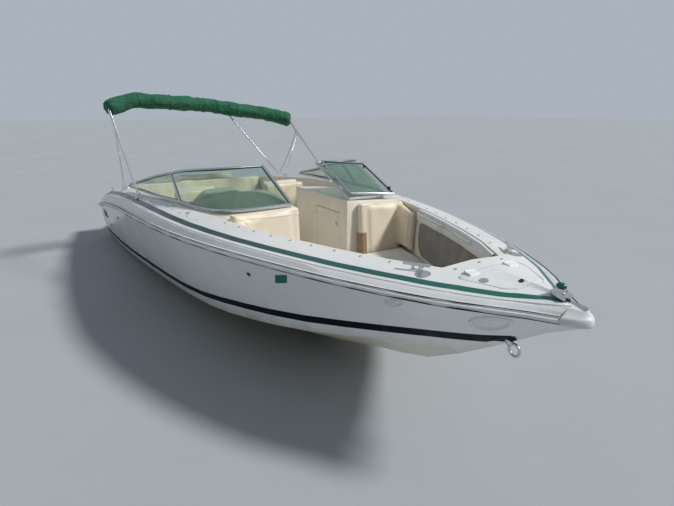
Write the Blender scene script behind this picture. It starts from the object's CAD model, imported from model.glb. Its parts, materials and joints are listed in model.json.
import json
import math

import bpy
from mathutils import Matrix, Vector
from mathutils.bvhtree import BVHTree

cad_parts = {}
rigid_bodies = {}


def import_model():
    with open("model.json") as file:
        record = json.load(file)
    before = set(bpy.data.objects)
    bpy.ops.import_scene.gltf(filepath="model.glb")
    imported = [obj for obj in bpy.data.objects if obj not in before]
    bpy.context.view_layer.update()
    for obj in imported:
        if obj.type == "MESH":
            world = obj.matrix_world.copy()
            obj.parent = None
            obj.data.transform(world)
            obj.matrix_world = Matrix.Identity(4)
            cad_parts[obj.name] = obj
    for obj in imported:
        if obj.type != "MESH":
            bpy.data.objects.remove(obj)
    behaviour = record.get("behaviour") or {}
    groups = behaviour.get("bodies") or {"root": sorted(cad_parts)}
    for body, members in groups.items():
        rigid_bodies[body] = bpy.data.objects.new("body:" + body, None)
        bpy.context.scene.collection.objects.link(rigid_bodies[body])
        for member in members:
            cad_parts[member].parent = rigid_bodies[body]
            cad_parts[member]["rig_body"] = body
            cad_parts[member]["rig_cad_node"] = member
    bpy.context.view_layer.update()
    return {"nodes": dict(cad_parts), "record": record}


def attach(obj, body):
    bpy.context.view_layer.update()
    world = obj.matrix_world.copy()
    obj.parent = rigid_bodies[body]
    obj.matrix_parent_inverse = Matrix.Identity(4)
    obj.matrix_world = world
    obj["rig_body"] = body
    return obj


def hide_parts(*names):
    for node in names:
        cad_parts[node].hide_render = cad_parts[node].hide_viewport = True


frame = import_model()
nodes = frame["nodes"]

# Metres throughout: +X forward, +Y to port, +Z up from the water's surface.
MM = 0.001
PORT, STARBOARD = 1, -1
ORIGIN = (0, 0, 0)
UP, DOWN, AHEAD = Vector((0, 0, 1)), Vector((0, 0, -1)), Vector((1, 0, 0))
CLEAR = 3.0    # a distance from the boat's middle that is clear of all of it

# Camera, fitted to the rub rail, stem and chine of the photographed boat
CAMERA_AT = (8.624, -2.065, 1.983)
CAMERA_HEADING = 148.96    # degrees from +X
CAMERA_DIP = 16.24         # degrees under level
CAMERA_LENS = 26.9         # mm on a sensor of this width:
SENSOR_W = 36

# Lines that fittings and seams follow, from the CAD
LENGTH = 7.4
SHEER = [
    # share of length, rail y, rail z
    (0.00, 1.226, 0.507), (0.16, 1.262, 0.706), (0.32, 1.276, 0.853), (0.48, 1.270, 0.955),
    (0.62, 1.200, 1.012), (0.71, 1.072, 1.033), (0.79, 0.892, 1.043), (0.86, 0.690, 1.046),
    (0.93, 0.412, 1.045), (0.975, 0.150, 1.041), (1.00, 0.026, 1.038),
]
RAIL_Y, RAIL_Z = 1, 2
SIDE_DECK = 0.27
WELL_FRONT = 6.7
SEAT_Y = 0.52
BENDS = 8    # samples between two points of a bent path


def steps(start, end, count):
    return [start + (end - start) * k / (count - 1) for k in range(count)]


def eased(t, step, start, end, start_slope, end_slope):
    """A value or point between two others, on a curve that keeps their slopes."""
    return ((2 * t ** 3 - 3 * t ** 2 + 1) * start + (t ** 3 - 2 * t ** 2 + t) * step * start_slope
            + (3 * t ** 2 - 2 * t ** 3) * end + (t ** 3 - t ** 2) * step * end_slope)


def line(x, column):
    """A hull line at x."""
    share = min(max(x / LENGTH, 0), 1)
    k = max(i for i in range(len(SHEER) - 1) if SHEER[i][0] <= share)

    def slope(i):
        low, high = SHEER[max(i - 1, 0)], SHEER[min(i + 1, len(SHEER) - 1)]
        return (high[column] - low[column]) / (high[0] - low[0])

    near, far = SHEER[k], SHEER[k + 1]
    step = far[0] - near[0]
    return eased((share - near[0]) / step, step, near[column], far[column], slope(k), slope(k + 1))


def coaming_y(x):
    return line(x, RAIL_Y) - SIDE_DECK


def bent(points):
    """A smooth path through some points."""
    points = [Vector(p) for p in points]
    at = [0.0]
    for a, b in zip(points, points[1:]):
        at.append(at[-1] + (b - a).length)
    slopes = []
    for k in range(len(points)):
        low, high = max(k - 1, 0), min(k + 1, len(points) - 1)
        slopes.append((points[high] - points[low]) / (at[high] - at[low]))
    path = [points[0]]
    for k in range(len(points) - 1):
        for t in steps(1 / BENDS, 1, BENDS):
            path.append(eased(t, at[k + 1] - at[k], points[k], points[k + 1], slopes[k], slopes[k + 1]))
    return path


# Surfaces that fittings sit on
def surface_of(*names):
    """Search tree over some CAD nodes' faces."""
    points, faces = [], []
    for name in names:
        mesh = nodes[name].data
        base = len(points)
        points += [v.co.copy() for v in mesh.vertices]
        faces += [[base + i for i in polygon.vertices] for polygon in mesh.polygons]
    return BVHTree.FromPolygons(points, faces)


def struck(tree, start, way, lift=0.0):
    """Point where a line meets a surface, lifted off it, and the surface's direction there."""
    point, normal = tree.ray_cast(Vector(start), Vector(way))[:2]
    return point + normal * lift, normal


def nearest(tree, place, lift=0.0):
    """Point of a surface nearest to a place, lifted off it, and the surface's direction there."""
    point, normal = tree.find_nearest(Vector(place))[:2]
    return point + normal * lift, normal


DECK_TREE = surface_of("deck", "engine_hatch", "anchor_lid")
HULL_TREE = surface_of("hull")
LINER_TREE = surface_of("liner")


def on_deck(x, y):
    return struck(DECK_TREE, (x, y, CLEAR), DOWN)


def on_liner(x, z, side, lift=0.0):
    """On the cockpit liner, looking outwards from the boat's middle."""
    return struck(LINER_TREE, (x, 0, z), (0, side, 0), lift)


# Modelling
def deselect():
    if bpy.context.mode != "OBJECT":
        bpy.ops.object.mode_set(mode="OBJECT")
    bpy.ops.object.select_all(action="DESELECT")


def pick(piece):
    """Makes a piece the only one selected, and the active one."""
    deselect()
    piece.select_set(True)
    bpy.context.view_layer.objects.active = piece


def open_up(piece):
    """Opens a piece for editing, with all of it selected."""
    pick(piece)
    bpy.ops.object.mode_set(mode="EDIT")
    bpy.ops.mesh.select_all(action="SELECT")


def close_up():
    bpy.ops.object.mode_set(mode="OBJECT")


def joined(pieces):
    deselect()
    for piece in pieces:
        piece.select_set(True)
    bpy.context.view_layer.objects.active = pieces[0]
    if len(pieces) > 1:
        bpy.ops.object.join()
    return bpy.context.object


def settle(piece, name, finish, body="root", stands_for=()):
    """Names a finished piece, or several as one, puts its place into its mesh, gives it its finish and
    slot, and lets it ride on a body."""
    if isinstance(piece, list):
        piece = joined(piece)
    pick(piece)
    bpy.ops.object.transform_apply(location=True, rotation=True, scale=True)
    piece.name = name
    piece.data.name = name
    piece.data.materials.clear()
    piece.data.materials.append(finish)
    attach(piece, body)
    if stands_for:
        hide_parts(*stands_for)
    return piece


def modify(piece, kind, **settings):
    """Adds a modifier and applies it."""
    pick(piece)
    modifier = piece.modifiers.new(kind.title(), kind)
    for key, value in settings.items():
        setattr(modifier, key, value)
    bpy.ops.object.modifier_apply(modifier=modifier.name)
    return piece


def bevelled(piece, radius, angle=50.0, segments=2):
    """Rounds the edges that are sharper than an angle."""
    return modify(piece, "BEVEL", width=radius, segments=segments, limit_method="ANGLE",
                  angle_limit=math.radians(angle))


def smooth(piece, angle=40.0):
    """Shades smoothly over the edges that are blunter than an angle."""
    pick(piece)
    bpy.ops.object.shade_smooth_by_angle(angle=math.radians(angle))
    return piece


def outward(piece):
    """Turns every face outwards."""
    open_up(piece)
    bpy.ops.mesh.normals_make_consistent(inside=False)
    close_up()
    return piece


def copy_of(piece):
    """A copy with its own mesh."""
    copy = piece.copy()
    copy.data = piece.data.copy()
    bpy.context.scene.collection.objects.link(copy)
    return copy


def stand(piece, point, way):
    """Turns a piece made at the origin, facing up, to a direction and sets it on a point."""
    turn = UP.rotation_difference(Vector(way).normalized())
    piece.data.transform(Matrix.Translation(Vector(point)) @ turn.to_matrix().to_4x4())
    return piece


def merged(node, name):
    """A copy of a CAD node with its loose triangles merged into clean faces."""
    copy = copy_of(nodes[node])
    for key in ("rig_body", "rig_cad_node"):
        del copy[key]
    copy.parent = None
    copy.hide_viewport = copy.hide_render = False
    copy.hide_set(False)
    copy.name = name
    open_up(copy)
    bpy.ops.mesh.remove_doubles(threshold=0.02 * MM)
    bpy.ops.mesh.dissolve_limited(angle_limit=math.radians(0.3))
    close_up()
    return copy


def slab(low, high):
    """A block between two corners, ready to be shaped."""
    deselect()
    bpy.ops.mesh.primitive_cube_add(size=1, location=[(a + b) / 2 for a, b in zip(low, high)])
    piece = bpy.context.object
    piece.scale = [b - a for a, b in zip(low, high)]
    bpy.ops.object.transform_apply(location=True, rotation=True, scale=True)
    return piece


def disc(centre, way, radius, depth, edge=0.0, sides=24, dish=0.0):
    """A round plate or stub that stands on a point, its rim rounded or its face dished."""
    deselect()
    bpy.ops.mesh.primitive_cylinder_add(vertices=sides, radius=radius, depth=depth,
                                        location=(0, 0, depth / 2))
    piece = bpy.context.object
    bpy.ops.object.transform_apply(location=True, rotation=True, scale=True)
    if dish:
        bpy.ops.object.mode_set(mode="EDIT")
        bpy.ops.mesh.select_all(action="DESELECT")
        close_up()
        for polygon in piece.data.polygons:
            polygon.select = polygon.normal.z > 0.9
        bpy.ops.object.mode_set(mode="EDIT")
        bpy.ops.mesh.inset(thickness=radius * 0.2)
        bpy.ops.transform.translate(value=(0, 0, -dish))
        close_up()
    if edge:
        bevelled(piece, edge)
    return stand(smooth(piece), centre, way)


def cord_line(points, radius, closed=False, order=2, resolution=1, ring=2):
    """A round bead, pipe or wire through some points; order 3 cuts their corners smoothly."""
    deselect()
    bpy.ops.curve.primitive_nurbs_path_add()
    piece = bpy.context.object
    piece.location = (0, 0, 0)
    piece.data.splines.clear()
    spline = piece.data.splines.new("NURBS")
    spline.points.add(len(points) - 1)
    for target, point in zip(spline.points, points):
        target.co = (*point, 1)
    spline.order_u = order
    spline.use_cyclic_u = closed
    spline.use_endpoint_u = not closed
    spline.resolution_u = resolution
    piece.data.bevel_depth = radius
    piece.data.bevel_resolution = ring
    piece.data.use_fill_caps = True
    bpy.ops.object.convert(target="MESH")
    return smooth(bpy.context.object, 60)


def laid_strip(lines, thickness=0.0):
    """A strip laid through some lines of points, side by side, then given a thickness above them."""
    deselect()
    rows, along = len(lines), len(lines[0])
    bpy.ops.mesh.primitive_grid_add(x_subdivisions=along - 1, y_subdivisions=rows - 1, size=1)
    piece = bpy.context.object
    for k, vertex in enumerate(piece.data.vertices):
        vertex.co = lines[k // along][k % along]
    if thickness:
        modify(piece, "SOLIDIFY", thickness=thickness, offset=1.0)
        outward(piece)
    return smooth(piece)


def stamped(piece, places):
    """Copies of a piece made at the origin, each set on a point and turned to a direction, as one mesh."""
    copies = [stand(copy_of(piece), point, way) for point, way in places]
    bpy.data.objects.remove(piece)
    return joined(copies)


def mirrored(piece):
    """The piece and its mirror image across the boat, as one mesh."""
    twin = copy_of(piece)
    twin.data.transform(Matrix.Scale(-1, 4, (0, 1, 0)))
    twin.data.flip_normals()
    return joined([piece, twin])


# Finishes
def linear(hex_colour):
    """An sRGB hex colour as linear RGBA."""
    values = [int(hex_colour[i:i + 2], 16) / 255 for i in (1, 3, 5)]
    return [v / 12.92 if v <= 0.04045 else ((v + 0.055) / 1.055) ** 2.4 for v in values] + [1.0]


# Sockets by number: MapRange takes 0 a value, 1 and 2 the range it comes from, 3 and 4 the range it goes
# to; Mix takes 0 the share, 6 and 7 the colours, and its colour comes out at 2.
def add(tree, kind, inputs=None, out=0, **settings):
    """Adds a shader node with its settings and gives one of its outputs. inputs maps a socket to a value, a
    hex colour or another node's output."""
    made = tree.nodes.new("ShaderNode" + kind)
    for key, value in settings.items():
        setattr(made, key, value)
    for socket, value in (inputs or {}).items():
        if isinstance(value, bpy.types.NodeSocket):
            tree.links.new(value, made.inputs[socket])
        else:
            made.inputs[socket].default_value = linear(value) if isinstance(value, str) else value
    return made.outputs[out]


def blank(name, sockets=()):
    """A new material with some of its shader's sockets set, its tree, and the object's own coordinates."""
    material = bpy.data.materials.new(name)
    material.use_nodes = True
    tree = material.node_tree
    for socket, value in dict(sockets).items():
        tree.nodes["Principled BSDF"].inputs[socket].default_value = value
    return material, tree, add(tree, "TexCoord", out="Object")


def finished(material, colour, roughness, *bumps):
    """Gives a material its colour, its roughness and its bumps, each a height and how far it stands out."""
    tree = material.node_tree
    shader = tree.nodes["Principled BSDF"]
    tree.links.new(colour, shader.inputs["Base Color"])
    tree.links.new(roughness, shader.inputs["Roughness"])
    normal = None
    for height, distance in bumps:
        inputs = {"Height": height, "Distance": distance, "Strength": 1.0}
        if normal is not None:
            inputs["Normal"] = normal
        normal = add(tree, "Bump", inputs)
    tree.links.new(normal, shader.inputs["Normal"])
    return material


def drift(tree, place, scale, detail=4.0, rough=0.55, spread=(0.3, 0.7), to=(0.0, 1.0)):
    """A soft drift over a surface: noise of some repeats per metre, part of its range spread between two
    values."""
    noise = add(tree, "TexNoise", {"Vector": place, "Scale": scale, "Detail": detail, "Roughness": rough})
    return add(tree, "MapRange", {0: noise, 1: spread[0], 2: spread[1], 3: to[0], 4: to[1]})


# Boot stripe's top edge on the hull: share of the length, height in metres
BOOT_STRIPE = [(0.0, 0.13), (0.2, 0.212), (0.405, 0.335), (0.562, 0.425), (0.711, 0.573), (0.8, 0.66),
               (0.88, 0.74), (0.94, 0.815), (1.0, 1.0)]
STRIPE_W = 0.056
STRIPE_EDGE = 0.0012    # half the width over which a stripe fades out
# Deck stripe: how far inboard of the rail its middle runs, its half width, and where it starts and ends
DECK_STRIPE_IN, DECK_STRIPE_HALF = 0.094, 0.021
DECK_STRIPE_ENDS = (0.06, 7.31)
WIDEST = 1.4    # more than the widest half beam, to bring it under 1 for a curve node


def along_boat(tree, x, points):
    """A value that follows points of (share of the length, value) along the boat."""
    made = add(tree, "FloatCurve", {1: add(tree, "MapRange", {0: x, 1: 0.0, 2: LENGTH})})
    mapping = made.node.mapping
    curve = mapping.curves[0]
    curve.points[0].location, curve.points[-1].location = points[0], points[-1]
    for point in points[1:-1]:
        curve.points.new(*point)
    mapping.update()
    return made


def band(tree, value, low, high):
    """1 where a value lies between two limits."""
    start = add(tree, "MapRange", {0: value, 1: low - STRIPE_EDGE, 2: low + STRIPE_EDGE})
    end = add(tree, "MapRange", {0: value, 1: high - STRIPE_EDGE, 2: high + STRIPE_EDGE, 3: 1.0, 4: 0.0})
    return add(tree, "Math", {0: start, 1: end}, operation="MULTIPLY")


def hull_gelcoat():
    """White polyester gelcoat sprayed in a mould: an even gloss, with an inlaid dark boot stripe and, under
    it, the yellow-brown film that standing in the water leaves, thickest aft and streaked downwards."""
    material, tree, place = blank("sprayed_polyester_gelcoat", {"IOR": 1.42, "Specular IOR Level": 0.2})
    x, _, z = add(tree, "SeparateXYZ", {0: place}).node.outputs
    over = add(tree, "Math", {0: along_boat(tree, x, BOOT_STRIPE), 1: z}, operation="SUBTRACT")
    stem_end = add(tree, "MapRange", {0: x, 1: 7.035, 2: 7.045, 3: 1.0, 4: 0.0})
    stripe = add(tree, "Math", {0: band(tree, over, 0.0, STRIPE_W), 1: stem_end}, operation="MULTIPLY")
    white = add(tree, "Mix", {0: drift(tree, place, 0.8, spread=(0.35, 0.65)), 6: "#eeeeec", 7: "#e3e6e8"}, 2,
                data_type="RGBA")
    drawn_down = add(tree, "Mapping", {"Vector": place, "Scale": (1.0, 1.0, 0.3)})
    streaks = add(tree, "TexNoise", {"Vector": drawn_down, "Scale": 6.0, "Detail": 6.0, "Roughness": 0.65})
    ragged = add(tree, "Math", {0: streaks, 1: 0.22}, operation="MULTIPLY")
    ragged = add(tree, "Math", {0: over, 1: ragged}, operation="ADD")
    under_stripe = add(tree, "MapRange", {0: ragged, 1: 0.18, 2: 0.3})
    ragged = add(tree, "Math", {0: streaks, 1: 0.1}, operation="MULTIPLY")
    ragged = add(tree, "Math", {0: z, 1: ragged}, operation="ADD")
    wet = add(tree, "MapRange", {0: ragged, 1: 0.19, 2: 0.08})
    filmed = add(tree, "Math", {0: under_stripe, 1: wet}, operation="MAXIMUM")
    aft = add(tree, "MapRange", {0: x, 1: 4.8, 2: 6.4, 3: 1.0, 4: 0.4})
    filmed = add(tree, "Math", {0: filmed, 1: aft}, operation="MULTIPLY")
    film = add(tree, "Mix", {0: drift(tree, place, 26.0, 5.0), 6: "#d8c07a", 7: "#a08a4e"}, 2,
               data_type="RGBA")
    run_down = add(tree, "Mapping", {"Vector": place, "Scale": (1.0, 1.0, 0.12)})
    grime = drift(tree, run_down, 11.0, 8.0, 0.7, (0.62, 0.85), (0.0, 0.1))
    stained = add(tree, "Mix", {0: grime, 6: white, 7: "#b7ad93"}, 2, data_type="RGBA")
    share = add(tree, "Math", {0: filmed, 1: 0.8}, operation="MULTIPLY")
    stained = add(tree, "Mix", {0: share, 6: stained, 7: film}, 2, data_type="RGBA")
    colour = add(tree, "Mix", {0: stripe, 6: stained, 7: "#040d16"}, 2, data_type="RGBA")
    dull = add(tree, "Math", {0: filmed, 1: stripe}, operation="MAXIMUM")
    dull = add(tree, "Math", {0: dull, 1: 0.36}, operation="MULTIPLY")
    gloss = add(tree, "Math", {0: drift(tree, place, 3.0, to=(0.14, 0.24)), 1: dull}, operation="ADD")
    peel = add(tree, "TexNoise", {"Vector": place, "Scale": 140, "Detail": 2.0, "Roughness": 0.55})
    return finished(material, colour, gloss, (peel, 0.02 * MM))


def deck_gelcoat(name, striped=False):
    """The same gelcoat on deck, where sun and feet have dulled it a little; the deck's edge carries a teal
    stripe sprayed in the mould."""
    material, tree, place = blank(name, {"Coat Weight": 0.1})
    white = add(tree, "Mix", {0: drift(tree, place, 1.2, spread=(0.35, 0.65)), 6: "#efeeeb", 7: "#e4e5e3"}, 2,
                data_type="RGBA")
    dirt = drift(tree, place, 9.0, 8.0, 0.65, (0.55, 0.8), (0.0, 0.3))
    colour = add(tree, "Mix", {0: dirt, 6: white, 7: "#c6c0ae"}, 2, data_type="RGBA")
    if striped:
        x, y, _ = add(tree, "SeparateXYZ", {0: place}).node.outputs
        rail = along_boat(tree, x, [(s, line(s * LENGTH, RAIL_Y) / WIDEST) for s in steps(0, 1, 41)])
        rail = add(tree, "Math", {0: rail, 1: WIDEST}, operation="MULTIPLY")
        out = add(tree, "Math", {0: y, 1: 0.0}, operation="ABSOLUTE")
        inboard = add(tree, "Math", {0: rail, 1: out}, operation="SUBTRACT")
        mask = band(tree, inboard, DECK_STRIPE_IN - DECK_STRIPE_HALF, DECK_STRIPE_IN + DECK_STRIPE_HALF)
        mask = add(tree, "Math", {0: mask, 1: band(tree, x, *DECK_STRIPE_ENDS)}, operation="MULTIPLY")
        teal = add(tree, "Mix", {0: drift(tree, place, 2.0), 6: "#0d3d42", 7: "#0b343b"}, 2, data_type="RGBA")
        faded = add(tree, "MapRange", {0: x, 1: 5.2, 2: 6.9})
        teal = add(tree, "Mix", {0: faded, 6: teal, 7: "#1f6459"}, 2, data_type="RGBA")
        colour = add(tree, "Mix", {0: mask, 6: colour, 7: teal}, 2, data_type="RGBA")
    peel = add(tree, "TexNoise", {"Vector": place, "Scale": 150, "Detail": 2.0, "Roughness": 0.55})
    return finished(material, colour, drift(tree, place, 4.0, to=(0.22, 0.36)), (peel, 0.03 * MM))


def tread_gelcoat(name, colour, second):
    """Gelcoat cast against a pebbled mould for grip: dull, rounded 4 mm bumps, grey in their hollows."""
    material, tree, place = blank(name)
    pebble = add(tree, "TexVoronoi", {"Vector": place, "Scale": 220.0}, feature="SMOOTH_F1")
    hollow = add(tree, "MapRange", {0: pebble, 1: 0.15, 2: 0.6})
    shade = add(tree, "Mix", {0: hollow, 6: colour, 7: second}, 2, data_type="RGBA")
    height = add(tree, "MapRange", {0: pebble, 1: 0.1, 2: 0.7, 3: 1.0, 4: 0.0})
    return finished(material, shade, drift(tree, place, 5.0, to=(0.45, 0.62)), (height, 0.5 * MM))


def canvas_finish():
    """Solution-dyed acrylic canvas: a plain weave of 0.6 mm threads, drawn coarser to show, faded on top."""
    material, tree, place = blank("woven_acrylic_canvas", {"Sheen Weight": 0.08})
    threads = {"Vector": place, "Scale": 130.0, "Distortion": 1.0}
    warp = add(tree, "TexWave", threads, "Fac", bands_direction="Y")
    weft = add(tree, "TexWave", threads, "Fac", bands_direction="Z")
    weave = add(tree, "Math", {0: warp, 1: weft}, operation="MULTIPLY")
    green = add(tree, "Mix", {0: drift(tree, place, 5.0, 6.0, spread=(0.35, 0.7)), 6: "#0f5438",
                              7: "#176647"}, 2, data_type="RGBA")
    share = add(tree, "Math", {0: weave, 1: 0.25}, operation="MULTIPLY")
    green = add(tree, "Mix", {0: share, 6: green, 7: "#07301f"}, 2, data_type="RGBA")
    drawn_in = add(tree, "Mapping", {"Vector": place, "Scale": (1.0, 3.0, 1.0)})
    gathers = add(tree, "TexNoise", {"Vector": drawn_in, "Scale": 9.0, "Detail": 3.0, "Roughness": 0.5})
    creases = add(tree, "TexNoise", {"Vector": place, "Scale": 45.0, "Detail": 3.0, "Roughness": 0.55})
    return finished(material, green, drift(tree, place, 12.0, to=(0.75, 0.9)), (gathers, 16 * MM),
                    (creases, 2 * MM), (weave, 0.2 * MM))


def vinyl_finish(name, colour, second, shade):
    """Expanded marine vinyl on cloth: a soft satin skin, its 1 mm leather grain drawn coarser to show,
    grubby where hands and feet rub."""
    material, tree, place = blank(name, {"Sheen Weight": 0.1})
    grain = add(tree, "TexVoronoi", {"Vector": place, "Scale": 420.0})
    clean = add(tree, "Mix", {0: drift(tree, place, 1.5), 6: colour, 7: second}, 2, data_type="RGBA")
    rub = drift(tree, place, 4.0, 7.0, 0.6, (0.52, 0.78), (0.0, 0.5))
    rubbed = add(tree, "Mix", {0: rub, 6: clean, 7: shade}, 2, data_type="RGBA")
    creases = add(tree, "TexNoise", {"Vector": place, "Scale": 14.0, "Detail": 3.0, "Roughness": 0.55})
    return finished(material, rubbed, drift(tree, place, 7.0, to=(0.38, 0.55)), (creases, 1.5 * MM),
                    (grain, 0.12 * MM))


def tinted_glass():
    """Tempered glass, green from its iron, with a trace of dried spray."""
    material, tree, place = blank("tinted_tempered_glass", {"Transmission Weight": 1.0})
    tint = add(tree, "Mix", {0: drift(tree, place, 2.0), 6: "#d3e6da", 7: "#c6ddd0"}, 2, data_type="RGBA")
    spray = drift(tree, place, 60.0, 5.0, spread=(0.5, 0.8), to=(0.02, 0.1))
    ripple = add(tree, "TexNoise", {"Vector": place, "Scale": 3.0, "Detail": 4.0, "Roughness": 0.55})
    return finished(material, tint, spray, (ripple, 0.05 * MM))


def brushed_metal(name, colour, second, roughness):
    """Metal finished along its length: fine scratches that soften its reflections."""
    material, tree, place = blank(name, {"Metallic": 1.0})
    lengthwise = add(tree, "Mapping", {"Vector": place, "Scale": (0.2, 1.0, 1.0)})
    scratch = add(tree, "TexNoise", {"Vector": lengthwise, "Scale": 90.0, "Detail": 5.0, "Roughness": 0.6})
    share = add(tree, "MapRange", {0: scratch, 1: 0.3, 2: 0.7})
    shade = add(tree, "Mix", {0: share, 6: colour, 7: second}, 2, data_type="RGBA")
    gloss = add(tree, "MapRange", {0: scratch, 1: 0.3, 2: 0.7, 3: roughness - 0.06, 4: roughness + 0.08})
    grain = add(tree, "TexNoise", {"Vector": place, "Scale": 900.0, "Detail": 2.0, "Roughness": 0.55})
    return finished(material, shade, gloss, (grain, 0.002 * MM))


def plain_finish(name, colour, second, roughness, scale, grain, height, ior=1.5):
    """A finish that drifts between two shades and two glosses, with a fine grain; scale and grain are
    repeats per metre."""
    material, tree, place = blank(name, {"IOR": ior})
    noise = add(tree, "TexNoise", {"Vector": place, "Scale": scale, "Detail": 6.0, "Roughness": 0.6})
    share = add(tree, "MapRange", {0: noise, 1: 0.3, 2: 0.7})
    shade = add(tree, "Mix", {0: share, 6: colour, 7: second}, 2, data_type="RGBA")
    gloss = add(tree, "MapRange", {0: noise, 1: 0.3, 2: 0.7, 3: roughness - 0.08, 4: roughness + 0.08})
    fine = add(tree, "TexNoise", {"Vector": place, "Scale": grain, "Detail": 3.0, "Roughness": 0.55})
    return finished(material, shade, gloss, (fine, height))


GELCOAT = hull_gelcoat()
DECK = deck_gelcoat("weathered_deck_gelcoat")
STRIPED_DECK = deck_gelcoat("striped_deck_gelcoat", True)
TREAD = tread_gelcoat("pebbled_gelcoat", "#dfe0dc", "#b9bab4")
SOLE_TREAD = tread_gelcoat("pebbled_sole_gelcoat", "#d8d2c2", "#a9a392")
# Gelcoat inside, cut back to a satin: slightly warm, with scuffs
LINER = plain_finish("satin_liner_gelcoat", "#efe9dc", "#e7dfd0", 0.36, 5.0, 130, 0.05 * MM)
# Extruded vinyl rub rail, chalky from the sun
RAIL = plain_finish("extruded_vinyl_rail", "#dcdedd", "#c3c8ca", 0.5, 9.0, 200, 0.06 * MM)
# Braided polyester rope pressed into the rail: white, with the fibres' faint unevenness
ROPE = plain_finish("white_rail_rope", "#e9eaea", "#d3d6d7", 0.42, 12.0, 300, 0.1 * MM)
# Dash covering, embossed vinyl over foam: olive grey, its grain takes the glare away
DASH = plain_finish("grained_dash_vinyl", "#b0b4a1", "#9ea290", 0.6, 8.0, 380, 0.3 * MM)
# The same embossed vinyl on the bow's side panels: a dull warm grey
DARK_VINYL = plain_finish("grey_grained_vinyl", "#8b8683", "#7a7673", 0.6, 9.0, 400, 0.3 * MM)
# Aluminium, extruded and anodised, or drawn into tube and polished
FRAME = brushed_metal("anodised_aluminium_extrusion", "#c9cccd", "#b4b8ba", 0.3)
TUBE = brushed_metal("polished_aluminium_tube", "#dfe1e2", "#cfd2d3", 0.36)
# Stainless steel, polished bright on the fittings, ground on the cast propeller
STAINLESS = brushed_metal("polished_stainless_steel", "#dcdcda", "#cfd0cf", 0.14)
PROPELLER_STEEL = brushed_metal("stainless_propeller_casting", "#cfd0ce", "#a9abab", 0.26)
GLASS = tinted_glass()
CANVAS = canvas_finish()
# Woven polyester webbing: white, its ribs too fine to see but for their dullness
WEBBING = plain_finish("woven_polyester_webbing", "#e6e6e0", "#cfcfc8", 0.8, 30.0, 700, 0.4 * MM)
CREAM = vinyl_finish("cream_marine_vinyl", "#ece0cb", "#e2d4bb", "#b9a27d")
WHITE_VINYL = vinyl_finish("white_marine_vinyl", "#eeefee", "#e3e5e5", "#c2bdb2")
# Brown-banded vinyl of the roll edges
BROWN_VINYL = vinyl_finish("tan_banded_vinyl", "#a48a6c", "#8d7459", "#6b5745")
# Polyethylene seat shells, rotomoulded: waxy, with a faint pebble
SHELL = plain_finish("rotomoulded_polyethylene", "#e3dccb", "#d8cfbb", 0.45, 5.0, 260, 0.15 * MM)
# Stern drive, enamel baked on cast aluminium: black, dulled by salt, the casting's skin showing through
CAST = plain_finish("enamelled_aluminium_casting", "#17191b", "#23272a", 0.38, 12.0, 90, 0.25 * MM)
# Engine enamel, sprayed on cast iron: black, with the rougher skin of sand casting
ENAMEL = plain_finish("black_engine_enamel", "#1c1d1f", "#26282a", 0.4, 10.0, 80, 0.3 * MM)
# ABS, injection moulded in an etched mould: near black, softly shiny
BLACK = plain_finish("black_moulded_abs", "#141516", "#1e2022", 0.42, 20.0, 420, 0.08 * MM)
# EPDM rubber, extruded: a dead black
RUBBER = plain_finish("black_epdm_rubber", "#101112", "#191a1b", 0.65, 20.0, 300, 0.06 * MM)
# Urethane of the wheel's rim, foamed in a grained mould: black, a little worn
RIM = plain_finish("grained_urethane_rim", "#17171a", "#202024", 0.55, 12.0, 500, 0.15 * MM)
# Screen-printed vinyl film of the hull's sticker: flat green under a clear layer
STICKER = plain_finish("printed_green_vinyl", "#1e7a63", "#1a6d5a", 0.35, 20.0, 200, 0.02 * MM)
# Printed card of the gauges' dials, and the sprayed paint of their needles
DIAL = plain_finish("printed_dial_card", "#eceae2", "#dfddd4", 0.5, 40.0, 200, 0.01 * MM)
NEEDLE = plain_finish("red_needle_paint", "#c3221c", "#a91a16", 0.4, 50.0, 200, 0.01 * MM)
# Acrylic lenses of the bow light, injection moulded: glossy and deep in colour
GREEN_LENS = plain_finish("green_moulded_lens", "#14684f", "#0f513d", 0.12, 30.0, 120, 0.05 * MM, ior=1.49)
RED_LENS = plain_finish("red_moulded_lens", "#8f1513", "#6e0f0d", 0.12, 30.0, 120, 0.05 * MM, ior=1.49)
# Matt paper of the studio's floor
FLOOR = plain_finish("floor_paper", "#aeb2b5", "#a9adb0", 0.85, 0.4, 40, 0.1 * MM)

SLOT_FINISH = {
    "gelcoat": GELCOAT, "liner_gelcoat": LINER, "rail": RAIL, "dash": DASH, "frame_metal": FRAME,
    "stainless": STAINLESS, "tinted_glass": GLASS, "canvas": CANVAS, "vinyl": CREAM, "seat_shell": SHELL,
    "dark_cast": CAST, "engine_enamel": ENAMEL, "black_plastic": BLACK, "wheel_rim": RIM,
}
SLOT_OF = {row["node"]: row["material_slot"] for row in frame["record"]["subparts"]}
BODY_OF = {node: body for body, names in frame["record"]["behaviour"]["bodies"].items() for node in names}
for node, slot in SLOT_OF.items():
    nodes[node].data.materials.clear()
    nodes[node].data.materials.append(SLOT_FINISH[slot])


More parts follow.
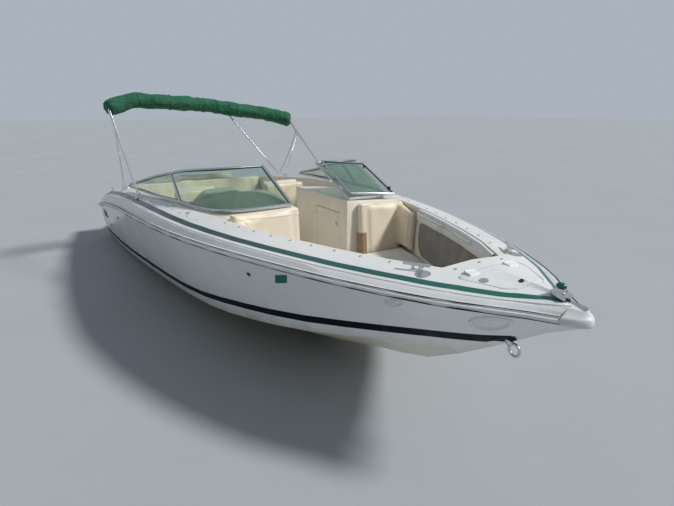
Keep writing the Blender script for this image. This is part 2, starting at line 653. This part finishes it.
# Hard pieces: merged copies with rounded edges, shaded smoothly
DRESSED = [
    # node, name, finish, edge radius in mm
    ("hull", "hull_moulding", GELCOAT, 0), ("deck", "deck_moulding", STRIPED_DECK, 9),
    ("liner", "cockpit_moulding", LINER, 6), ("rub_rail", "rub_rail_extrusion", RAIL, 5),
    ("port_console", "port_console_moulding", LINER, 7), ("helm_console", "helm_console_moulding", LINER, 7),
    ("console_door", "console_door_moulding", LINER, 3), ("instrument_panel", "facia_panel", BLACK, 4),
    ("walkway_window_frame", "centre_window_frame", FRAME, 0),
    ("walkway_window_glass", "centre_window_pane", GLASS, 0), ("bimini_bows", "top_bows", TUBE, 0),
    ("bimini_struts", "top_struts", TUBE, 0), ("bimini_pole", "top_pole", TUBE, 0),
    ("bimini_mounts", "top_hinge_fittings", STAINLESS, 2),
    ("helm_seat_shell", "helm_seat_moulding", SHELL, 12),
    ("passenger_seat_shell", "passenger_seat_moulding", SHELL, 12),
    ("seat_pedestals", "seat_posts", FRAME, 3),
    ("bench_base", "bench_moulding", LINER, 10), ("bow_grab_rails", "bow_grab_rail_tubes", STAINLESS, 0),
    ("engine", "engine_block", ENAMEL, 18), ("engine_hatch", "hatch_moulding", DECK, 8),
    ("anchor_lid", "anchor_lid_moulding", DECK, 5), ("swim_platform", "platform_moulding", DECK, 14),
    ("platform_brackets", "platform_bracket_plates", STAINLESS, 2),
    ("transom_plate", "transom_housing", CAST, 6), ("gimbal_ring", "steering_fork", CAST, 5),
    ("drive_leg", "drive_casting", CAST, 8), ("propeller", "propeller_casting", PROPELLER_STEEL, 1),
    ("trim_cylinders", "trim_rams", CAST, 2), ("steering_wheel", "wheel_moulding", RIM, 0),
    ("steering_column", "column_tube", BLACK, 2), ("throttle", "throttle_control", BLACK, 5),
    ("mooring_fittings", "cleats_and_rings", STAINLESS, 2), ("bow_light", "bow_light_base", STAINLESS, 3),
]
for node, name, finish, edge in DRESSED:
    piece = merged(node, name)
    if edge:
        smooth(bevelled(piece, edge * MM, 30))
    else:
        smooth(piece, 30)
    if node in ("hull", "deck", "liner"):
        modify(piece, "WEIGHTED_NORMAL", keep_sharp=True)
    settle(piece, name, finish, BODY_OF[node], [node])

# Soft pieces: a crowned skin blown up over the solid, held at its base and along its seams
CLOTH_FRAMES = 12
CLOTH = {
    "quality": 4, "mass": 0.3, "vertex_group_mass": "held", "use_pressure": True, "tension_stiffness": 8,
    "compression_stiffness": 8, "shear_stiffness": 4, "bending_stiffness": 0.6,
}
CUSHION_PUSH = 4.0
PIPING_R = 0.0045


def blown_up(piece, push, crown, seams, held_way):
    """Blows up a closed skin with some pressure, and lets no point of it move further than the crown."""
    held = piece.vertex_groups.new(name="held")
    for vertex in piece.data.vertices:
        weight = 1.0 if vertex.normal.dot(Vector(held_way)) > 0.75 else 0.0
        for point, normal, half in seams:
            away = abs((vertex.co - Vector(point)).dot(Vector(normal).normalized()))
            weight = max(weight, min(1.0, 2 - away / half))
        if weight > 0:
            held.add([vertex.index], weight, "REPLACE")
    rest = [v.co.copy() for v in piece.data.vertices]
    pick(piece)
    cloth = piece.modifiers.new("Cloth", "CLOTH")
    for key, value in CLOTH.items():
        setattr(cloth.settings, key, value)
    cloth.settings.uniform_pressure_force = push
    cloth.settings.effector_weights.gravity = 0
    cloth.point_cache.frame_start, cloth.point_cache.frame_end = 1, CLOTH_FRAMES
    for k in range(1, CLOTH_FRAMES + 1):
        bpy.context.scene.frame_set(k)
    bpy.ops.object.modifier_apply(modifier=cloth.name)
    bpy.context.scene.frame_set(1)
    for vertex, start in zip(piece.data.vertices, rest):
        move = vertex.co - start
        if move.length > crown:
            vertex.co = start + move * (crown / move.length)


def puffed(node, name, voxel, pull_in, push, crown, seams, held_way, soften=4):
    """A stuffed cover over a CAD solid. seams are (point, normal, half width) planes where the stitching
    holds it down, held_way the direction of the face that it rests against."""
    piece = modify(merged(node, name), "REMESH", mode="VOXEL", voxel_size=voxel)
    open_up(piece)
    bpy.ops.mesh.vertices_smooth(factor=0.5, repeat=soften)
    bpy.ops.transform.shrink_fatten(value=-pull_in)
    close_up()
    blown_up(piece, push, crown, seams, held_way)
    open_up(piece)
    bpy.ops.mesh.vertices_smooth(factor=0.4, repeat=2)
    close_up()
    return smooth(piece, 70)


def piped(radius):
    """Makes the active piece's edges a round cord."""
    bpy.ops.object.convert(target="CURVE")
    bpy.context.object.data.bevel_depth = radius
    bpy.context.object.data.bevel_resolution = 1
    bpy.ops.object.convert(target="MESH")
    return smooth(bpy.context.object, 70)


def bead(piece, point, normal, radius):
    """A round bead sewn round a piece where a plane cuts it."""
    open_up(copy_of(piece))
    bpy.ops.mesh.bisect(plane_co=point, plane_no=normal, clear_inner=False, clear_outer=False)
    bpy.ops.mesh.select_all(action="INVERT")
    bpy.ops.mesh.delete(type="VERT")
    bpy.ops.mesh.select_all(action="SELECT")
    bpy.ops.mesh.remove_doubles(threshold=6 * MM)
    close_up()
    return piped(radius)


def upholstered(node, name, finish, seams, beads, held_way, voxel=0.014, pull_in=0.006, crown=0.016,
                soften=4):
    """A stuffed cushion with its piping."""
    piece = puffed(node, name, voxel, pull_in, CUSHION_PUSH, crown, seams, held_way, soften)
    piping = [bead(piece, point, normal, PIPING_R) for point, normal in beads]
    settle(piece, name, finish, BODY_OF[node], [node])
    settle(piping, name + "_piping", finish, BODY_OF[node])
    return piece


def across(values, half=0.012):
    """Seams that run fore and aft, at some distances from the centreline."""
    return [((0, y, 0), (0, 1, 0), half) for y in values]


upholstered("bench_cushion", "bench_seat_cushion", CREAM, across(steps(-0.64, 0.64, 5)),
            [((0, 0, 0.632), (0, 0, 1))], (0, 0, -1))
upholstered("bench_backrest", "bench_back_cushion", CREAM, across(steps(-0.8, 0.8, 11), 0.008),
            [((1.283, 0, 0), (1, 0, 0)), ((0, 0, 0.92), (0, 0, 1))], (-1, 0, 0))
upholstered("bow_cushions", "bow_seat_cushions", WHITE_VINYL,
            [((5.33, 0, 0), (1, 0, 0), 0.01), ((5.59, 0, 0), (1, 0, 0), 0.01)],
            [((0, 0, 0.716), (0, 0, 1))], (0, 0, -1), crown=0.012)
# Bow backs: a brown field low between the cream rolls, whose inner edge differs from side to side
FIELD_TOP, FIELD_PORT, FIELD_STARBOARD = 0.905, 0.405, -0.305
bow_backs = upholstered("bow_backrests", "bow_back_cushions", CREAM,
                        [((0, 0, FIELD_TOP), (0.08, 0, 1), 0.012)] + across((FIELD_PORT, FIELD_STARBOARD)),
                        [((0, 0, 1.146), (0, 0, 1))], (-1, 0, 0), voxel=0.012, pull_in=0.003,
                        crown=0.018, soften=14)
bow_backs.data.materials.append(BROWN_VINYL)
for polygon in bow_backs.data.polygons:
    x, y, z = polygon.center
    if FIELD_STARBOARD < y < FIELD_PORT and z < FIELD_TOP:
        polygon.material_index = 1
for side, name in ((PORT, "passenger"), (STARBOARD, "helm")):
    middle = side * SEAT_Y
    upholstered(name + "_seat_pads", name + "_seat_cushions", CREAM,
                across((middle - 0.14, middle + 0.14)) + [((3.2, 0, 0.86), (0.2, 0, 1), 0.012),
                                                         ((3.27, 0, 0), (1, 0, 0), 0.01)],
                [((0, middle + 0.225, 0), (0, 1, 0)), ((0, middle - 0.225, 0), (0, 1, 0))],
                (-0.5, 0, -0.8), voxel=0.011, crown=0.014)
upholstered("sunpad", "sunpad_cushion", CREAM, across((-0.2, 0.2)) + [((0.63, 0, 0), (1, 0, 0), 0.014)],
            [((0.63, 0, 0.926), (-0.15, 0, 1))], (0, 0, -1), crown=0.018)

# Dash hood: foam under vinyl, one soft hump
hood = modify(merged("dash_cowl", "dash_hood"), "REMESH", mode="VOXEL", voxel_size=0.01)
open_up(hood)
bpy.ops.mesh.vertices_smooth(factor=0.5, repeat=24)
close_up()
settle(smooth(hood, 70), "dash_hood", DASH, stands_for=["dash_cowl"])

# Folded canopy in its sleeve, gathered by its straps, with large folds and small puckers
boot_ties = across((-0.9, -0.45, 0.0, 0.45, 0.9), 0.02)
boot = puffed("bimini_boot", "canopy_in_its_sleeve", 0.012, -0.018, 5.0, 0.016, boot_ties, (0, 0, 0))
for name, size, strength in (("folds", 0.13, 0.034), ("puckers", 0.035, 0.011)):
    clouds = bpy.data.textures.new(name, "CLOUDS")
    clouds.noise_scale = size
    modify(boot, "DISPLACE", texture=clouds, strength=strength, mid_level=0.5, texture_coords="GLOBAL")
zipper = bead(boot, (1.83, 0, 1.995), (-0.18, 0, 1), 0.004)
settle(boot, "canopy_in_its_sleeve", CANVAS, "bimini", ["bimini_boot"])
settle(zipper, "sleeve_zip", BLACK, "bimini")
settle([bead(boot, point, normal, 0.006) for point, normal, _ in boot_ties[1:4]], "sleeve_ties", CANVAS,
       "bimini")
STRAP_HALF, STRAP_T = 0.0125, 1.5 * MM
strap = [[(2.118 - 0.32 * t + off, 1.179 - 0.12 * t + 0.02 * math.sin(math.pi * t), 1.654 - 0.61 * t)
          for t in steps(0, 1, 12)] for off in (-STRAP_HALF, STRAP_HALF)]
settle(laid_strip(strap, STRAP_T), "canopy_strap", WEBBING, "bimini")

# Rub rail's insert, the dark lines of sealant over and under it, and the bead on the deck's edge
CAP_AFT = 7.33
rail_xs = steps(0.0, CAP_AFT + 0.01, 60)


def rail_lines(out, up):
    """Lines along both rub rails, some way out from the rail's own line and over it."""
    return [[(x, side * (line(x, RAIL_Y) + out), line(x, RAIL_Z) + up) for x in rail_xs]
            for side in (PORT, STARBOARD)]


settle([cord_line(points, 0.0085) for points in rail_lines(0.019, 0.0)], "rub_rail_insert", ROPE)
settle([cord_line(points, radius) for out, up, radius in ((0.013, -0.0165, 0.0055), (0.0135, 0.0165, 0.0038))
        for points in rail_lines(out, up)], "rail_bedding", RUBBER)
ridges = [[on_deck(x, side * (line(x, RAIL_Y) - 0.05))[0] for x in steps(0.1, CAP_AFT, 72)]
          for side in (PORT, STARBOARD)]
settle([cord_line(points, 0.005) for points in ridges], "deck_edge_bead", DECK)

# Snap studs for the covers, along the bow well and outside the windshield
stud = disc(ORIGIN, UP, 0.009, 0.005, edge=0.002, sides=16, dish=0.001)
places = []
for x in steps(5.02, 6.62, 10):
    places += [on_deck(x, side * (coaming_y(x) + 0.02)) for side in (PORT, STARBOARD)]
for x in steps(1.3, 4.75, 20):
    out = 0.105 if x > 2.25 else 0.03
    places += [on_deck(x, side * (coaming_y(x) + out)) for side in (PORT, STARBOARD)]
places += [on_deck(WELL_FRONT + 0.035, y) for y in (-0.18, 0.0, 0.18)]
settle(stamped(stud, places), "snap_studs", STAINLESS)

# Fittings on the hull's side and on deck
OVAL_T = 0.011
OVAL_RINGS = ((0.04, 0.7), (0.62, 0.7), (0.7, 0.25), (0.76, 0.25), (0.84, 1.0), (0.94, 1.0), (1.0, 0.0))
OVAL_SIDES = 36


def hull_oval(name, centre, along, up):
    """A flat moulded oval lying on the hull, through rings of (share of its size, share of its thickness)."""
    c, u, v = Vector(centre), Vector(along), Vector(up)
    rings = []
    for share, rise in OVAL_RINGS:
        rings.append([])
        for t in steps(0, 2 * math.pi, OVAL_SIDES + 1):
            spot = c + u * (share * math.cos(t)) + v * (share * math.sin(t))
            rings[-1].append(nearest(HULL_TREE, spot, OVAL_T * rise)[0])
    piece = modify(laid_strip(rings), "WELD", merge_threshold=0.5 * MM)
    return settle(smooth(piece, 50), name, DECK)


for side, name in ((STARBOARD, "starboard"), (PORT, "port")):
    hull_oval(name + "_forward_hull_oval", (6.993, side * 0.166, 0.923), (0.109, side * -0.045, 0.031),
              (0.035, side * 0.046, 0.062))
    hull_oval(name + "_hull_oval", (6.59, side * 0.48, 0.959), (0.066, side * -0.016, 0.019),
              (0.03, side * 0.024, 0.036))
screw = disc(ORIGIN, UP, 0.006, 0.006, edge=0.0015, sides=14, dish=0.001)
screws = [nearest(HULL_TREE, (x, side * y, z)) for side in (STARBOARD, PORT)
          for x, y, z in ((6.905, 0.202, 0.898), (7.081, 0.13, 0.948), (6.54, 0.492, 0.945),
                          (6.64, 0.468, 0.973))]
settle(stamped(screw, screws), "oval_screws", STAINLESS)
drain = disc(ORIGIN, UP, 0.016, 0.007, edge=0.003, dish=0.004)
drains = [nearest(HULL_TREE, p) for p in ((5.546, -0.909, 0.893), (1.977, -1.237, 0.652), (0.9, -1.2, 0.35),
                                          (0.6, 1.2, 0.33))]
settle(stamped(drain, drains), "through_hull_fittings", BLACK)
# The sticker's corners: lower aft, lower forward, upper forward, upper aft
corners = [Vector(p) for p in ((5.77, -0.815, 0.882), (5.89, -0.788, 0.912), (5.966, -0.822, 1.006),
                               (5.846, -0.849, 0.976))]
rows = []
for t in steps(0, 1, 4):
    low, high = corners[0].lerp(corners[1], t), corners[3].lerp(corners[2], t)
    rows.append([nearest(HULL_TREE, low.lerp(high, s), 1.2 * MM)[0] for s in steps(0.0, 0.8, 4)])
settle(laid_strip(rows), "hull_sticker", STICKER)
caps = ((4.03, -1.045, 0.034), (4.476, -1.01, 0.02), (0.75, -1.12, 0.04), (0.75, 1.12, 0.03))
settle([disc(*on_deck(x, y), radius, 0.008, edge=0.003, dish=0.003) for x, y, radius in caps],
       "deck_filler_caps", STAINLESS)

# Louvred engine vents low on the hull's quarters
vents = []
for side in (PORT, STARBOARD):
    for k in range(5):
        spots = [(x, side * CLEAR, 0.50 - 0.02 * k + 0.03 * (x - 0.45)) for x in steps(0.45, 0.72, 6)]
        louvre = [struck(HULL_TREE, spot, (0, -side, 0), 3 * MM)[0] for spot in spots]
        vents.append(cord_line(louvre, 0.006, order=3, resolution=4))
settle(vents, "engine_vent_louvres", BLACK)

# Anchor lid's slam latch and lock
for x, y, radius, finish, slot, name in ((6.925, -0.163, 0.024, STAINLESS, "stainless", "lid_latch"),
                                         (7.04, -0.02, 0.013, BLACK, "black_plastic", "lid_lock")):
    settle(disc(*on_deck(x, y), radius, 0.006, edge=0.002, dish=0.003), name, finish, "lid")

# Navigation light: a bicolour dome on its chrome base
for side, name, lens in ((STARBOARD, "green", GREEN_LENS), (PORT, "red", RED_LENS)):
    deselect()
    bpy.ops.mesh.primitive_uv_sphere_add(segments=24, ring_count=12, radius=0.021)
    dome = bpy.context.object
    dome.scale = (1.3, 0.95, 0.95)
    bpy.ops.object.transform_apply(location=True, rotation=True, scale=True)
    open_up(dome)
    bpy.ops.mesh.bisect(plane_co=(0, 0, -0.004), plane_no=(0, 0, 1), clear_inner=True, use_fill=True)
    bpy.ops.mesh.select_all(action="SELECT")
    bpy.ops.mesh.bisect(plane_co=(0, side * 0.0004, 0), plane_no=(0, side, 0), clear_inner=True,
                        use_fill=True)
    close_up()
    dome.location = (7.25, 0, 1.1655)
    settle(smooth(dome, 50), name + "_light_lens", lens)


# Cap over the rub rail's ends: rows from under the rail, round its face and up onto the deck
def stem_line(half, middle, tip):
    """A bow-shaped line round the stem, from one side to the other."""
    return bent([(CAP_AFT, -half, 0), (CAP_AFT + 0.065, -middle, 0), (tip, 0, 0),
                 (CAP_AFT + 0.065, middle, 0), (CAP_AFT, half, 0)])


rail_z = line(LENGTH, RAIL_Z)
outer, inner = stem_line(0.101, 0.054, LENGTH + 0.03), stem_line(0.045, 0.016, LENGTH - 0.012)
rows = []
for share, up in ((0.5, -0.021), (0.12, -0.021), (0.0, -0.013), (0.0, 0.013), (0.12, 0.021), (0.42, 0.025)):
    rows.append([a.lerp(b, share) + Vector((0, 0, rail_z + up)) for a, b in zip(outer, inner)])
for share in (0.75, 1.0):
    rows.append([nearest(DECK_TREE, a.lerp(b, share) + Vector((0, 0, rail_z + 0.06)), 1.5 * MM)[0]
                 for a, b in zip(outer, inner)])
cap = modify(smooth(laid_strip(rows, 1.5 * MM), 60), "SUBSURF", levels=1, render_levels=1)
settle(cap, "rub_rail_nose_cap", RAIL)

# Windshield: extrusions bent smoothly through the stations of the CAD's frame, panes and rubber glazing
SHIELD = [
    # base, top, port half, front to back
    ((4.930, 0.278, 1.208), (4.350, 0.278, 1.464)), ((4.850, 0.700, 1.190), (4.310, 0.670, 1.458)),
    ((4.620, 0.868, 1.172), (4.050, 0.900, 1.430)), ((4.030, 0.950, 1.152), (3.700, 0.940, 1.375)),
    ((3.500, 1.030, 1.132), (3.290, 1.010, 1.300)), ((2.810, 1.085, 1.104), (2.854, 1.080, 1.206)),
    ((2.330, 1.110, 1.084), (2.400, 1.110, 1.118)),
]
MULLION = 3 * BENDS    # the mullion stands at the fourth station
FRAME_W, FRAME_H, FRAME_CORNER = 0.026, 0.022, 0.004
PANE_T = 0.006
BRACE_FOOT = Vector((4.330, 0.300, 1.187))


def extrusion(path, ups):
    """The frame's section with eased corners along a path; ups gives its upright direction at each point."""
    w, h, c = FRAME_W / 2, FRAME_H / 2, FRAME_CORNER
    section = [(w, h - c), (w - c, h), (c - w, h), (-w, h - c), (-w, c - h), (c - w, -h), (w - c, -h),
               (w, c - h)]
    lines = []
    for a, b in section + section[:1]:
        lines.append([])
        for k, p in enumerate(path):
            along = (path[min(k + 1, len(path) - 1)] - path[max(k - 1, 0)]).normalized()
            side = along.cross(ups[k]).normalized()
            lines[-1].append(p + side * a + side.cross(along).normalized() * b)
    piece = modify(laid_strip(lines), "WELD", merge_threshold=0.2 * MM)
    open_up(piece)
    bpy.ops.mesh.fill_holes(sides=0)
    close_up()
    return smooth(outward(piece), 35)


base, top = bent([row[0] for row in SHIELD]), bent([row[1] for row in SHIELD])
last = len(base) - 1
rises = [(t - b).normalized() for b, t in zip(base, top)]
bars = [extrusion(base, rises), extrusion(top, rises)]
for k in (0, MULLION, last):
    along = (base[min(k + 1, last)] - base[max(k - 1, 0)]).normalized()
    bars.append(extrusion([base[k], top[k]], [along, along]))
brace_top = Vector(SHIELD[0][1]).lerp(Vector(SHIELD[0][0]), 0.3)
bars.append(cord_line([brace_top, BRACE_FOOT], 0.007, ring=4))
bars.append(disc(BRACE_FOOT, UP, 0.018, 0.005, edge=0.002))
settle(mirrored(joined(bars)), "windshield_extrusions", FRAME,
       stands_for=["windshield_frames"])
panes, seals = [], []
for start, end in ((0, MULLION), (MULLION, last)):
    span = range(start, end + 1)
    panes.append(laid_strip([[base[k].lerp(top[k], t) for k in span] for t in steps(0.03, 0.97, 5)], PANE_T))
    inset = FRAME_H / 2 + 0.004
    low = [base[k] + rises[k] * inset for k in span]
    high = [top[k] - rises[k] * inset for k in span]
    for ends in (low, high):
        ends[0] = ends[0] + (ends[1] - ends[0]).normalized() * 0.015
        ends[-1] = ends[-1] + (ends[-2] - ends[-1]).normalized() * 0.015
    seals.append(cord_line(low + high[::-1], 0.0075, closed=True, ring=1))
settle(mirrored(joined(panes)), "windshield_panes", GLASS, stands_for=["windshield_glass"])
settle(mirrored(joined(seals)), "windshield_seals", RUBBER)

# Padded dash top under the starboard glass, one low hump from the windshield's foot back to the hood
DASH_TREE = surface_of("deck", "helm_console")
PAD_IN, PAD_AFT, PAD_HUMP, PAD_T = 0.035, 4.03, 0.07, 0.004
PAD_PEAK = 0.3    # where along the foot it is highest, as a share
foot = [Vector((p.x, -p.y, 0)) for p in base[:MULLION - 2]]
rows = []
for t in steps(0, 1, 13):
    rows.append([])
    for k, p in enumerate(foot):
        s = k / (len(foot) - 1)
        near = p + Vector((-PAD_IN, 0.008 if k == 0 else PAD_IN * s, 0))
        spot = near.lerp(Vector((PAD_AFT, -0.27 - 0.6 * s, 0)), t)
        under = struck(DASH_TREE, (spot.x, spot.y, CLEAR), DOWN)[0]
        if s > PAD_PEAK:
            swell = math.cos(math.pi * (s - PAD_PEAK)) * 0.5 + 0.5
        else:
            swell = 0.82 + 0.6 * s
        hump = PAD_HUMP * math.sin(math.pi * t) ** 0.8 * swell
        rows[-1].append(Vector((spot.x, spot.y, under.z + PAD_T + hump)))
settle(smooth(laid_strip(rows, PAD_T), 70), "dash_top_pad", DASH)

# Rubber glazing round the walkway window's pane, along its sharp edges, and its two latches
glass = merged("walkway_window_glass", "centre_window_guide")
bpy.ops.object.mode_set(mode="EDIT")
bpy.ops.mesh.select_mode(type="EDGE")
bpy.ops.mesh.select_all(action="DESELECT")
bpy.ops.mesh.edges_select_sharp(sharpness=math.radians(50))
bpy.ops.mesh.duplicate()
bpy.ops.mesh.separate(type="SELECTED")
close_up()
rim = [o for o in bpy.context.selected_objects if o != glass][0]
bpy.data.objects.remove(glass)
pick(rim)
settle(smooth(piped(0.0055), 50), "centre_window_seals", RUBBER, "window")
WINDOW_TREE = surface_of("walkway_window_frame", "walkway_window_glass")
latches = []
for place in ((4.45, 0.77, 1.425), (4.83, 0.785, 1.255)):
    p, n = nearest(WINDOW_TREE, place)
    latches.append(disc(p, n if n.z > 0 else -n, 0.017, 0.016, edge=0.005))
settle(latches, "centre_window_latches", BLACK, "window")


def coaming_rows(side, xs, out, rows):
    """Rows of points on the liner, each some way under the coaming's edge and off the liner's face."""
    made = []
    for drop, lift in rows:
        edges = [on_deck(x, side * (coaming_y(x) + out))[0].z for x in xs]
        made.append([on_liner(x, z - drop, side, lift)[0] for x, z in zip(xs, edges)])
    return made


# Bow well: padded coaming band and the grey panel let into each side under it
BOW_BAND = [(0.006, 0.003), (0.014, 0.018), (0.032, 0.027), (0.062, 0.031), (0.092, 0.027), (0.11, 0.017),
            (0.118, 0.003)]
BOW_PANEL = [
    # height, aft end, forward end
    (0.75, 5.46, 6.42), (0.77, 5.405, 6.45), (0.81, 5.365, 6.47), (0.90, 5.345, 6.49), (0.97, 5.345, 6.49),
    (1.0, 5.35, 6.48), (1.015, 5.37, 6.46),
]
bands, panels = [], []
for side in (PORT, STARBOARD):
    strip = laid_strip(coaming_rows(side, steps(5.335, 6.62, 26), 0.0, BOW_BAND))
    bands.append(modify(strip, "SOLIDIFY", thickness=0.002, offset=-1.0))
    panels.append(laid_strip([[on_liner(x, z, side, 1 * MM)[0] for x in steps(start, end, 16)]
                              for z, start, end in BOW_PANEL], 0.005))
settle(bands, "bow_coaming_padding", WHITE_VINYL)
settle(panels, "bow_side_panels", DARK_VINYL)

# Cockpit side padding under the coaming
bands = []
for side in (PORT, STARBOARD):
    rows = [(drop, 2 * MM) for drop in (0.06, 0.09, 0.2, 0.31, 0.34)]
    strip = laid_strip(coaming_rows(side, steps(1.85, 3.62, 20), 0.02, rows), 0.022)
    bands.append(bevelled(strip, 0.009, 60, 3))
settle(bands, "cockpit_coaming_padding", CREAM)

# Speakers and cup holders
speakers = []
for side in (PORT, STARBOARD):
    for x, z in ((2.15, 0.6), (3.3, 0.62)):
        p, n = on_liner(x, z, side)
        speakers.append(disc(p, n, 0.082, 0.012, edge=0.004, sides=40, dish=0.006))
        speakers += [disc(p + n * 0.005, n, r, 0.004, edge=0.001, sides=32) for r in (0.055, 0.04, 0.025)]
settle(speakers, "speaker_grilles", BLACK)
holders = [on_deck(x, side * y) for side in (PORT, STARBOARD) for x, y in ((6.68, 0.36), (1.42, 1.03))]
settle([disc(p, n, 0.043, 0.004, edge=0.0015, sides=32, dish=0.003) for p, n in holders], "cup_holders",
       STAINLESS)

# Instruments on the facia: chrome bezels, white dials, red needles, and a row of rockers below
FACIA_TREE = surface_of("instrument_panel")
GAUGES = [
    # y, z, radius
    (-0.43, 1.045, 0.041), (-0.61, 1.045, 0.041), (-0.335, 1.045, 0.027), (-0.705, 1.045, 0.027),
    (-0.52, 1.06, 0.027), (-0.78, 1.045, 0.027),
]


def on_facia(y, z):
    return struck(FACIA_TREE, (3.2, y, z), AHEAD)


def dial_bar(centre, facing, radius, degrees, half, back, ahead, rise, reach=0.0):
    """A thin bar on a dial, turned to an angle; back, ahead and reach are shares of the dial's radius."""
    right = Vector((0, 1, 0))
    up = facing.cross(right).normalized()
    t = math.radians(degrees)
    way = right * math.cos(t) + up * math.sin(t)
    turn = Matrix((right * math.sin(t) - up * math.cos(t), way, facing)).transposed().to_4x4()
    bar = slab((-half, -radius * back, 0), (half, radius * ahead, half))
    bar.data.transform(Matrix.Translation(centre + facing * rise + way * radius * reach) @ turn)
    return bar


bezels, dials, ticks, needles = [], [], [], []
for k, (y, z, r) in enumerate(GAUGES, 1):
    p, n = on_facia(y, z)
    bezels.append(disc(p, n, r, 0.009, edge=0.003, sides=32, dish=0.004))
    dials.append(disc(p + n * 0.0035, n, r * 0.78, 0.0022, sides=32))
    ticks += [dial_bar(p, n, r, -40 + 26 * i, 0.0006, 0.07, 0.07, 0.0056, 0.64) for i in range(11)]
    needles.append(dial_bar(p, n, r, 160 - 30 * (k % 3), 0.0012, 0.12, 0.6, 0.0058))
rockers = [disc(*on_facia(-0.36 - 0.055 * k, 0.94), 0.017, 0.009, edge=0.003, sides=4) for k in range(8)]
settle(bezels, "gauge_bezels", STAINLESS)
settle(dials, "gauge_dials", DIAL)
settle(ticks, "gauge_marks", BLACK)
settle(needles, "gauge_needles", NEEDLE)
settle(rockers, "rocker_switches", BLACK)

# Wheel's hub cap and the console door's latch
WHEEL_AT, WHEEL_RAKE = Vector((3.796, -0.52, 0.987)), math.radians(28)
wheel_way = Vector((-math.cos(WHEEL_RAKE), 0, math.sin(WHEEL_RAKE)))
settle([disc(WHEEL_AT, wheel_way, 0.042, 0.03, edge=0.006, sides=32, dish=0.004),
        disc(WHEEL_AT, wheel_way, 0.027, 0.034, edge=0.004, sides=32)], "wheel_hub_cap", BLACK,
       "wheel")
p, n = struck(surface_of("console_door"), (4.76, 0.0, 0.95), (0, 1, 0))
settle([disc(p, n, 0.024, 0.007, edge=0.002, dish=0.002), disc(p, n, 0.012, 0.011, edge=0.002)], "door_latch",
       STAINLESS, "door")

# Treads: pads of pebbled gelcoat on the platform and the soles
PLATFORM_PADS = (((-0.47, -0.9, 0.3302), (-0.28, 0.9, 0.3325)),
                 ((-0.25, -0.9, 0.3302), (-0.04, -0.05, 0.3325)),
                 ((-0.25, 0.05, 0.3302), (-0.04, 0.9, 0.3325)))
SOLE_PADS = (((1.80, -0.82, 0.2454), (3.90, 0.82, 0.2475)), ((3.95, -0.22, 0.2454), (4.90, 0.22, 0.2475)),
             ((4.99, -0.21, 0.4554), (5.92, 0.21, 0.4575)))
settle([smooth(bevelled(slab(low, high), 0.03, 60, 4)) for low, high in PLATFORM_PADS], "platform_treads",
       TREAD)
settle([slab(low, high) for low, high in SOLE_PADS], "sole_treads", SOLE_TREAD)

# Stern drive: its nuts and bolts, and the engine's covers under the hatch
PLATE_TREE, LEG_TREE, ENGINE_TREE = surface_of("transom_plate"), surface_of("drive_leg"), surface_of("engine")
nuts = [struck(PLATE_TREE, (-0.5, y, z), AHEAD) for y in (-0.17, 0.17) for z in (-0.2, -0.06, 0.08)]
settle(stamped(disc(ORIGIN, UP, 0.011, 0.009, edge=0.002, sides=6), nuts), "transom_housing_nuts", STAINLESS)
bolts = [struck(LEG_TREE, (x, side * 0.5, z), (0, -side, 0))
         for x, z in ((-0.36, -0.12), (-0.36, -0.22), (-0.3, -0.33), (-0.45, -0.05))
         for side in (PORT, STARBOARD)]
settle(stamped(disc(ORIGIN, UP, 0.008, 0.006, edge=0.0015, sides=6), bolts), "drive_bolts", STAINLESS,
       "drive")
covers = []
for side in (PORT, STARBOARD):
    for k in range(5):
        p = struck(ENGINE_TREE, (0.36 + 0.1 * k, side * 0.16, 1.0), DOWN)[0]
        covers.append(disc(p, UP, 0.03, 0.03, edge=0.006, sides=20))
p = struck(ENGINE_TREE, (0.58, 0, 1.0), DOWN)[0]
covers.append(disc(p, UP, 0.12, 0.055, edge=0.02, sides=40, dish=0.006))
settle(covers, "engine_top_covers", BLACK)

# Studio
bpy.ops.object.camera_add(location=CAMERA_AT,
                          rotation=(math.radians(90 - CAMERA_DIP), 0, math.radians(CAMERA_HEADING - 90)))
camera = bpy.context.object
camera.data.lens = CAMERA_LENS
camera.data.sensor_width = SENSOR_W
camera.data.sensor_fit = "HORIZONTAL"
bpy.context.scene.camera = camera

bpy.ops.mesh.primitive_plane_add(size=160, location=(3, 0, 0))
floor = bpy.context.object
floor.name = "studio_floor"
floor.data.materials.append(FLOOR)

# One wide sun high to port and ahead, and a sky that is shown brighter than it lights
SUN_FROM, SUN_STRENGTH, SUN_WIDTH = Vector((0.52, 0.5, 0.7)), 3.0, math.radians(10)
SKY_LIGHT, SKY_SHOWN = 0.36, 0.62
bpy.ops.object.light_add(type="SUN", rotation=SUN_FROM.to_track_quat("Z", "Y").to_euler())
bpy.context.object.data.energy = SUN_STRENGTH
bpy.context.object.data.angle = SUN_WIDTH
world = bpy.data.worlds.new("studio")
bpy.context.scene.world = world
world.use_nodes = True
tree = world.node_tree
sky = tree.nodes["Background"]
sky.inputs["Color"].default_value = linear("#d3deea")
rays = add(tree, "LightPath").node.outputs
shown = add(tree, "Math", {0: rays["Is Camera Ray"], 1: rays["Is Glossy Ray"]}, operation="MAXIMUM")
shown = add(tree, "Math", {0: shown, 1: rays["Is Transmission Ray"]}, operation="MAXIMUM")
strength = add(tree, "MapRange", {0: shown, 3: SKY_LIGHT, 4: SKY_SHOWN})
tree.links.new(strength, sky.inputs["Strength"])
bpy.context.scene.view_settings.view_transform = "Standard"
